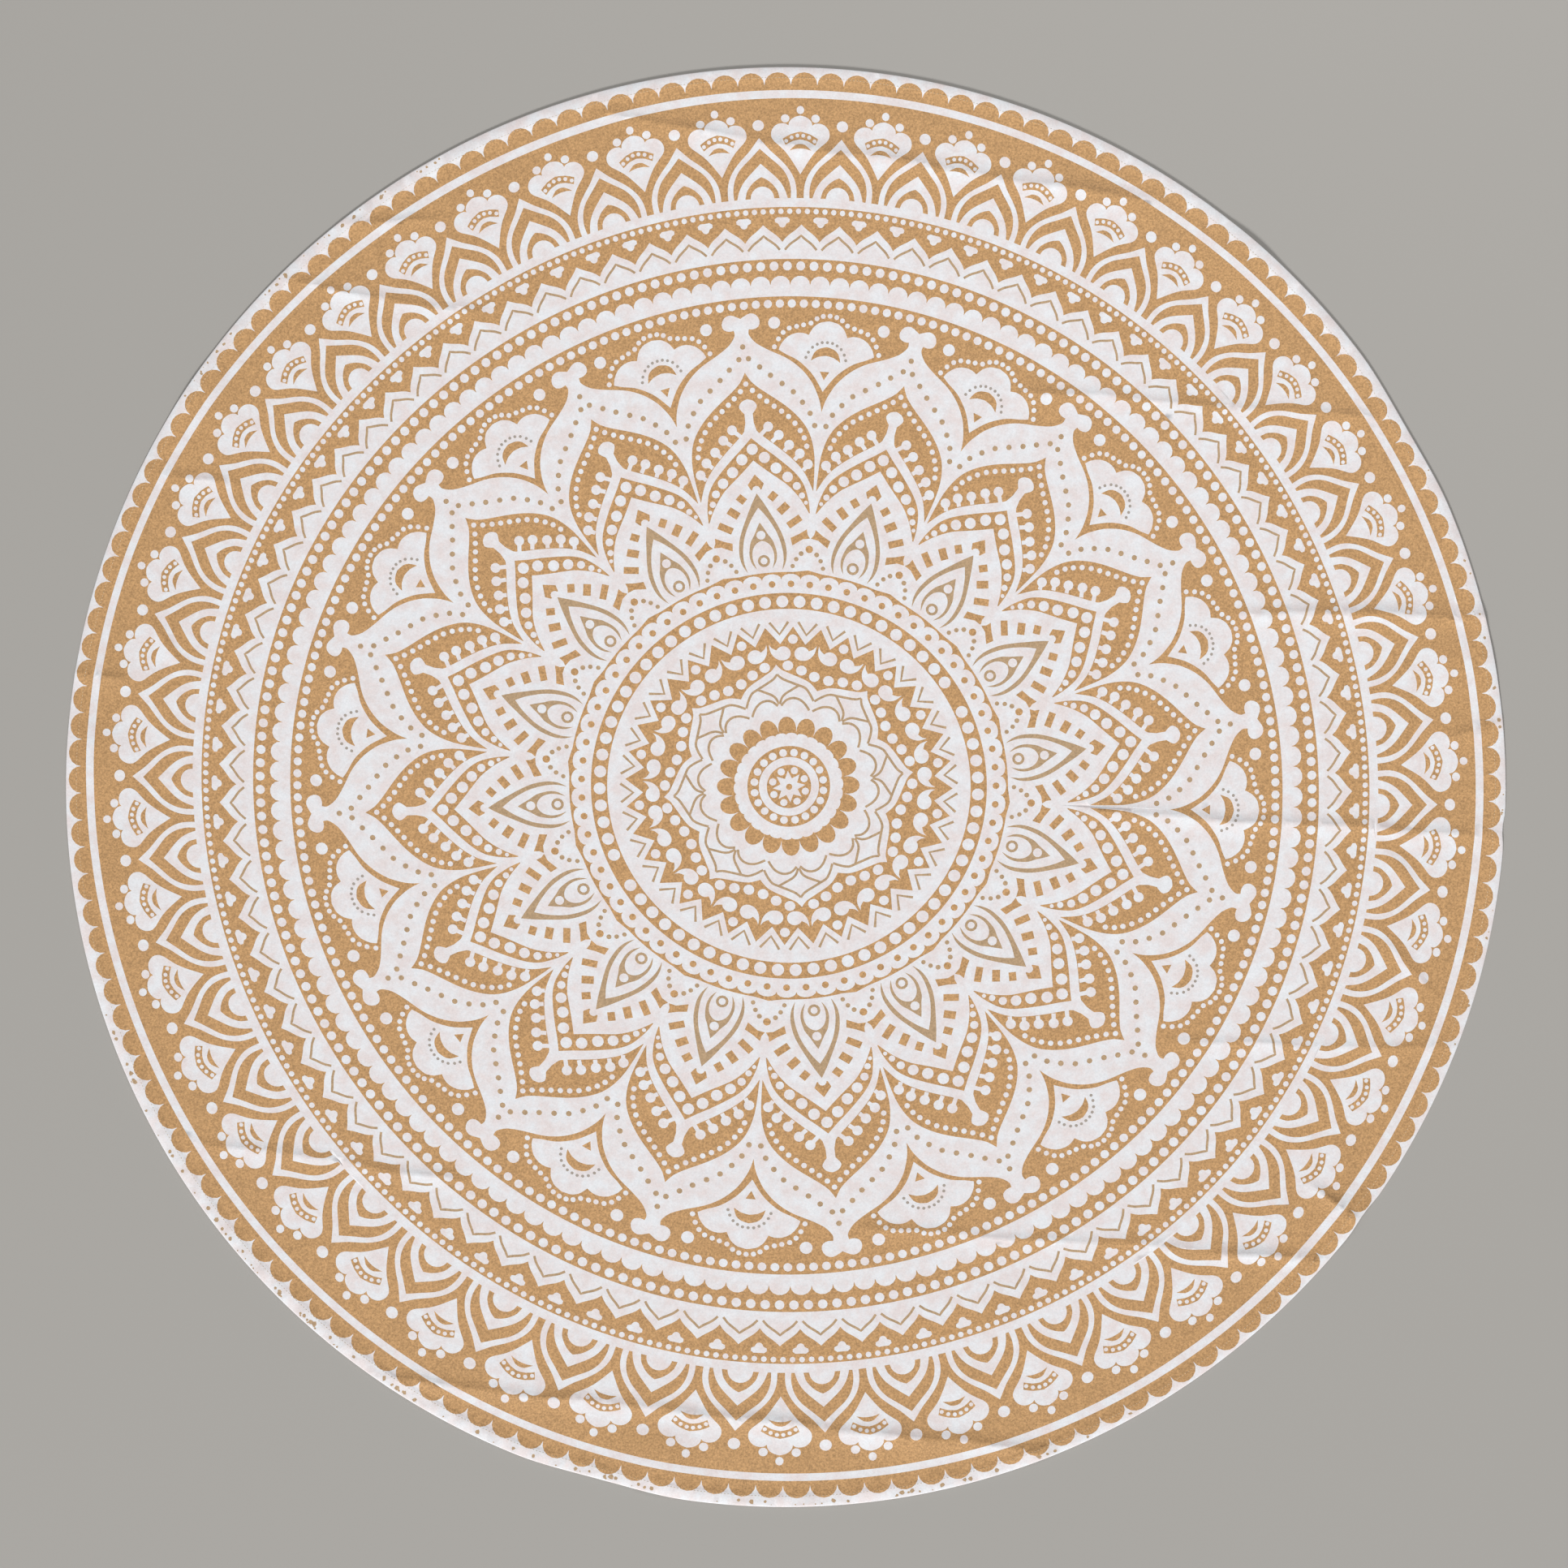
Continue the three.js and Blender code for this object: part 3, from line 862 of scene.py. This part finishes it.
def grained(tree, speck, colour, grain):
    """A colour that is darker in some specks and lighter in others."""
    dark = [channel * (1 - grain) for channel in colour]
    light = [min(1.0, channel * (1 + grain)) for channel in colour]
    return mixed(tree, speck, dark, light)


# How each cloth or ink looks: sizes in metres, and grain as a part of the colour
FABRIC_COLUMNS = ("grain", "cast_size", "grain_size", "roughness", "sheen")
FABRICS = {
    "white_cotton": (0.06, 0.022, 0.0024, 0.9, 0.1),
    "gold_print": (0.3, 0.06, 0.0024, 0.62, 0.0),
    "cotton_back": (0.03, 0.05, 0.0016, 0.95, 0.1),
    "dull_print": (0.2, 0.06, 0.0024, 0.62, 0.0),
    "grey_print": (0.1, 0.06, 0.0024, 0.62, 0.0),
    "thread": (0.05, 0.01, 0.001, 0.8, 0.1),
}
PATCHES = {"Detail": 3.0, "Roughness": 0.62}
PATCH_RANGE = (0.36, 0.64)
GRAINS = {"Detail": 2.0, "Roughness": 0.7}
GRAIN_RANGE = (0.3, 0.7)
CREASES = {"Scale": 16.0, "Detail": 5.0, "Roughness": 0.55}
CREASE_BUMP = {"Strength": 0.5, "Distance": 0.0022}
WEAVE = {"Scale": 900.0, "Detail": 1.0}
WEAVE_BUMP = {"Strength": 0.25, "Distance": 0.0004}
GLOSS = 0.25
GOLD_CAST = 0.95


def fabric(name, base, cast):
    """Cotton cloth: a base colour that drifts to its cast in soft patches, with a fine grain,
    over a weave and small creases."""
    look = dict(zip(FABRIC_COLUMNS, FABRICS[name]))
    material = bpy.data.materials.new(name)
    material.use_nodes = True
    tree = material.node_tree
    tree.nodes.clear()
    place = node(tree, "ShaderNodeTexCoord").outputs["Object"]
    patches = node(tree, "ShaderNodeTexNoise", Vector=place, Scale=1 / look["cast_size"], **PATCHES)
    drift = spread(tree, patches.outputs[0], *PATCH_RANGE)
    grains = node(tree, "ShaderNodeTexNoise", Vector=place, Scale=1 / look["grain_size"], **GRAINS)
    speck = spread(tree, grains.outputs[0], *GRAIN_RANGE)
    ground = grained(tree, speck, base, look["grain"])
    tinted = grained(tree, speck, cast, look["grain"])
    colour = mixed(tree, drift, ground, tinted)
    creases = node(tree, "ShaderNodeTexNoise", Vector=place, **CREASES)
    crumple = node(tree, "ShaderNodeBump", Height=creases.outputs[0], **CREASE_BUMP)
    weave = node(tree, "ShaderNodeTexNoise", Vector=place, **WEAVE)
    woven = node(tree, "ShaderNodeBump", Height=weave.outputs[0], Normal=crumple.outputs[0], **WEAVE_BUMP)
    shader = node(tree, "ShaderNodeBsdfPrincipled", Base_Color=colour, Roughness=look["roughness"],
                  Specular_IOR_Level=GLOSS, Sheen_Weight=look["sheen"], Normal=woven.outputs[0])
    node(tree, "ShaderNodeOutputMaterial", Surface=shader.outputs[0])
    return material


def cloth_materials(colours):
    """The cloth's materials, in the order of the colours' numbers."""
    white = tuple(colours.cotton)
    gold = tuple(colours.gold)
    dull = tuple(colours.dull_gold)
    grey = tuple(colours.grey)
    return [
        fabric("white_cotton", white, tuple(colours.cotton_cast)),
        fabric("gold_print", gold, tuple(GOLD_CAST * channel for channel in gold)),
        fabric("cotton_back", white, tuple(colours.cotton_cast)),
        fabric("dull_print", dull, dull),
        fabric("grey_print", grey, grey),
    ]


def new_piece(name, vertices, faces, materials, face_materials=None):
    """A smooth mesh object from vertices in metres, at the origin."""
    mesh = bpy.data.meshes.new(name)
    mesh.from_pydata(vertices, [], faces)
    for material in materials:
        mesh.materials.append(material)
    if face_materials is not None:
        mesh.polygons.foreach_set("material_index", face_materials)
    mesh.polygons.foreach_set("use_smooth", [True] * len(faces))
    mesh.update()
    made = bpy.data.objects.new(name, mesh)
    bpy.context.scene.collection.objects.link(made)
    return made


def lay_flat_uv(mesh):
    """A UV map that is the cloth laid flat, from 0 to 1 across it."""
    layer = mesh.uv_layers.new(name="flat")
    places = np.empty(3 * len(mesh.vertices))
    mesh.vertices.foreach_get("co", places)
    corners = np.empty(len(mesh.loops), np.int32)
    mesh.loops.foreach_get("vertex_index", corners)
    flat = places.reshape(-1, 3)[:, :2] / (2 * CLOTH_RADIUS) + 0.5
    layer.data.foreach_set("uv", flat[corners].ravel())


def build_sheet(sizes, colours):
    """The closed sheet: a printed top, a plain underside and the rim that they share."""
    art = painted()
    flecks = rim_flecks(random.Random(SEED))
    outlines = [*flecks, *(on_cloth(outline) for outline in art.outlines)]
    hem = sizes.hem_width / MM
    rings = [ring_points(inset) for inset in (*EDGE_ROUNDS, hem, hem + HEM_STEP)]
    top = triangulated(rings, outlines, drape_points(TOP_GRID, TOP_ROWS))
    under = triangulated(rings, [], drape_points(UNDER_GRID, UNDER_ROWS))
    top_places, top_faces, top_last, top_rim = top
    under_places, under_faces, _, under_rim = under
    top_z = heights(top_places[:, 0], top_places[:, 1], sizes)[1]
    under_z = heights(under_places[:, 0], under_places[:, 1], sizes)[0]
    count = len(top_places)
    shared = dict(zip(under_rim, top_rim))
    kept = [i for i in range(len(under_places)) if i not in shared]
    numbers = {place: count + i for i, place in enumerate(kept)}
    numbers.update(shared)
    vertices = np.vstack((
        np.column_stack((top_places, top_z)),
        np.column_stack((under_places[kept], under_z[kept])),
    )) * MM
    faces = [*top_faces, *([numbers[i] for i in reversed(face)] for face in under_faces)]
    colour_of = [WHITE, *[DULL_GOLD] * len(flecks), *art.colours]
    face_materials = [colour_of[i] for i in top_last] + [PLAIN_BACK] * len(under_faces)
    sheet = new_piece("cloth_sheet", vertices.tolist(), faces, cloth_materials(colours), face_materials)
    lay_flat_uv(sheet.data)
    return sheet


def build_stitches(sizes, colours):
    """One row of running stitches that holds the hem, as small flat-bottomed bars."""
    radius = CLOTH_RADIUS / MM - STITCH_INSET / MM
    count = round(2 * math.pi * radius / (STITCH_PITCH / MM))
    half_length = STITCH_LENGTH / MM / 2
    half_width = STITCH_WIDTH / MM / 2
    # along, across and up, as parts of the half length, the half width and the half width
    shape = [(-1, 0, -0.8), (-0.6, -1, -0.8), (0.6, -1, -0.8), (1, 0, -0.8), (0.6, 1, -0.8),
             (-0.6, 1, -0.8), (-0.6, 0, 1), (0.6, 0, 1)]
    shape_faces = [(5, 4, 3, 2, 1, 0), (0, 1, 6), (1, 2, 7, 6), (2, 3, 7), (3, 4, 7), (4, 5, 6, 7),
                   (5, 0, 6)]
    vertices = []
    faces = []
    for i in range(count):
        angle = 2 * math.pi * i / count
        inward = rim_radius(np.array([angle]))[0] - STITCH_INSET / MM
        first = len(vertices)
        for along, across, up in shape:
            turn = angle + along * half_length / radius
            out = inward + across * half_width
            vertices.append((out * math.cos(turn), out * math.sin(turn), up * half_width))
        faces.extend([first + corner for corner in face] for face in shape_faces)
    places = np.array(vertices)
    places[:, 2] += heights(places[:, 0], places[:, 1], sizes)[1]
    thread = fabric("thread", tuple(colours.thread), tuple(colours.thread))
    return new_piece("hem_stitches", (places * MM).tolist(), faces, [thread])


def length_choice(name, description, default, low, high):
    """A length that the panel shows, in metres."""
    return FloatProperty(
        name=name, description=description, default=default, min=low, max=high, unit="LENGTH")


def colour_choice(name, description, colour):
    """A colour that the panel shows, given as sRGB of 0 to 255."""
    return FloatVectorProperty(
        name=name, description=description, default=linear(colour), min=0, max=1, subtype="COLOR")


class ClothSizes(bpy.types.PropertyGroup):
    """Sizes of the tablecloth."""

    thickness: length_choice("Cloth thickness", "Thickness of one layer", CLOTH_THICKNESS, 0.001, 0.003)
    hem_thickness: length_choice("Hem thickness", "Thickness of the turned hem", HEM_THICKNESS, 0.001, 0.004)
    hem_width: length_choice("Hem width", "Width of the turned hem", HEM_WIDTH, 0.005, 0.03)


class ClothColours(bpy.types.PropertyGroup):
    """Colours of the tablecloth."""

    cotton: colour_choice("Cotton", "The cloth where it isn't printed", (232, 233, 236))
    cotton_cast: colour_choice("Cotton cast", "The pink that it drifts to in patches", (229, 219, 218))
    gold: colour_choice("Gold ink", "The printed gold", (195, 153, 106))
    dull_gold: colour_choice("Dull gold ink", "The dots and fine lines on white", (183, 155, 122))
    grey: colour_choice("Grey ink", "The smallest specks", (168, 158, 149))
    thread: colour_choice("Thread", "The thread of the hem", (226, 210, 182))


class StageSizes(bpy.types.PropertyGroup):
    """The floor and the camera."""

    camera_height: length_choice("Camera height", "Height of the camera over the cloth", 3.8, 1, 10)
    picture_width: length_choice("Picture width", "Width of the floor that the camera sees", 1.939, 1, 5)
    floor_colour: colour_choice("Floor", "Colour of the floor", (168, 165, 160))


class TABLECLOTH_OT_cloth(bpy.types.Operator):
    """Builds the printed cloth"""

    bl_idname = "tablecloth.cloth"
    bl_label = "Cloth"

    def execute(self, context):
        sheet = build_sheet(context.scene.cloth_sizes, context.scene.cloth_colours)
        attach(sheet, "root")
        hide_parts("cloth")
        return {"FINISHED"}


class TABLECLOTH_OT_stitches(bpy.types.Operator):
    """Builds the hem's row of stitches"""

    bl_idname = "tablecloth.stitches"
    bl_label = "Hem stitches"

    def execute(self, context):
        stitches = build_stitches(context.scene.cloth_sizes, context.scene.cloth_colours)
        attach(stitches, "root")
        return {"FINISHED"}


# The lights: where they stand and how wide they are, in metres, and their power in watts
LAMPS = [
    {"name": "low_key", "at": (-5.5, -21.0, 10.0), "width": 4.5, "power": 6800},
    {"name": "high_fill", "at": (1.5, 3.2, 3.0), "width": 2.4, "power": 62},
]
WORLD_STRENGTH = 0.33
FLOOR_SIZE = 40.0
FLOOR_DROP = 0.0002       # how far it lies below the cloth
FLOOR_ROUGHNESS = 0.9
CAMERA_SHIFT = (-0.0023, 0.0037)
SENSOR_WIDTH = 36.0


class TABLECLOTH_OT_stage(bpy.types.Operator):
    """Builds the floor, the lights, the sky and the camera"""

    bl_idname = "tablecloth.stage"
    bl_label = "Stage"

    def execute(self, context):
        sizes = context.scene.stage_sizes
        half = FLOOR_SIZE / 2
        corners = [(-half, -half, -FLOOR_DROP), (half, -half, -FLOOR_DROP), (half, half, -FLOOR_DROP),
                   (-half, half, -FLOOR_DROP)]
        matt = bpy.data.materials.new("floor")
        matt.use_nodes = True
        shader = matt.node_tree.nodes["Principled BSDF"]
        shader.inputs["Base Color"].default_value = (*sizes.floor_colour, 1.0)
        shader.inputs["Roughness"].default_value = FLOOR_ROUGHNESS
        floor = new_piece("floor", corners, [(0, 1, 2, 3)], [matt])
        for lamp in LAMPS:
            light = bpy.data.lights.new(lamp["name"], "AREA")
            light.size = lamp["width"]
            light.energy = lamp["power"]
            holder = bpy.data.objects.new(lamp["name"], light)
            holder.location = lamp["at"]
            holder.rotation_euler = (-Vector(lamp["at"])).to_track_quat("-Z", "Y").to_euler()
            context.scene.collection.objects.link(holder)
        world = bpy.data.worlds.new("even_light")
        world.use_nodes = True
        sky = world.node_tree.nodes["Background"]
        sky.inputs["Color"].default_value = (1.0, 1.0, 1.0, 1.0)
        sky.inputs["Strength"].default_value = WORLD_STRENGTH
        context.scene.world = world
        context.scene.view_settings.view_transform = "Standard"
        lens = bpy.data.cameras.new("camera")
        lens.sensor_width = SENSOR_WIDTH
        lens.lens = SENSOR_WIDTH * sizes.camera_height / sizes.picture_width
        camera = bpy.data.objects.new("camera", lens)
        camera.location = (*CAMERA_SHIFT, sizes.camera_height)
        context.scene.collection.objects.link(camera)
        context.scene.camera = camera
        return {"FINISHED"}


class TABLECLOTH_PT_panel(bpy.types.Panel):
    """Lists the tablecloth's sizes, colours and steps"""

    bl_idname = "TABLECLOTH_PT_panel"
    bl_label = "Round tablecloth"
    bl_space_type = "VIEW_3D"
    bl_region_type = "UI"
    bl_category = "Tablecloth"

    def draw(self, context):
        for group in (context.scene.cloth_sizes, context.scene.cloth_colours, context.scene.stage_sizes):
            for name in group.__annotations__:
                self.layout.prop(group, name)
        for step in STEPS:
            self.layout.operator(step.bl_idname)


STEPS = (TABLECLOTH_OT_cloth, TABLECLOTH_OT_stitches, TABLECLOTH_OT_stage)
GROUPS = {"cloth_sizes": ClothSizes, "cloth_colours": ClothColours, "stage_sizes": StageSizes}


def register():
    for group in GROUPS.values():
        bpy.utils.register_class(group)
    for name, group in GROUPS.items():
        setattr(bpy.types.Scene, name, PointerProperty(type=group))
    for step in (*STEPS, TABLECLOTH_PT_panel):
        bpy.utils.register_class(step)


def unregister():
    for step in (TABLECLOTH_PT_panel, *reversed(STEPS)):
        bpy.utils.unregister_class(step)
    for name, group in GROUPS.items():
        delattr(bpy.types.Scene, name)
        bpy.utils.unregister_class(group)


def main():
    """Builds everything in order."""
    bpy.ops.object.select_all(action="DESELECT")
    register()
    bpy.ops.tablecloth.cloth()
    bpy.ops.tablecloth.stitches()
    bpy.ops.tablecloth.stage()


if __name__ == "__main__":
    main()
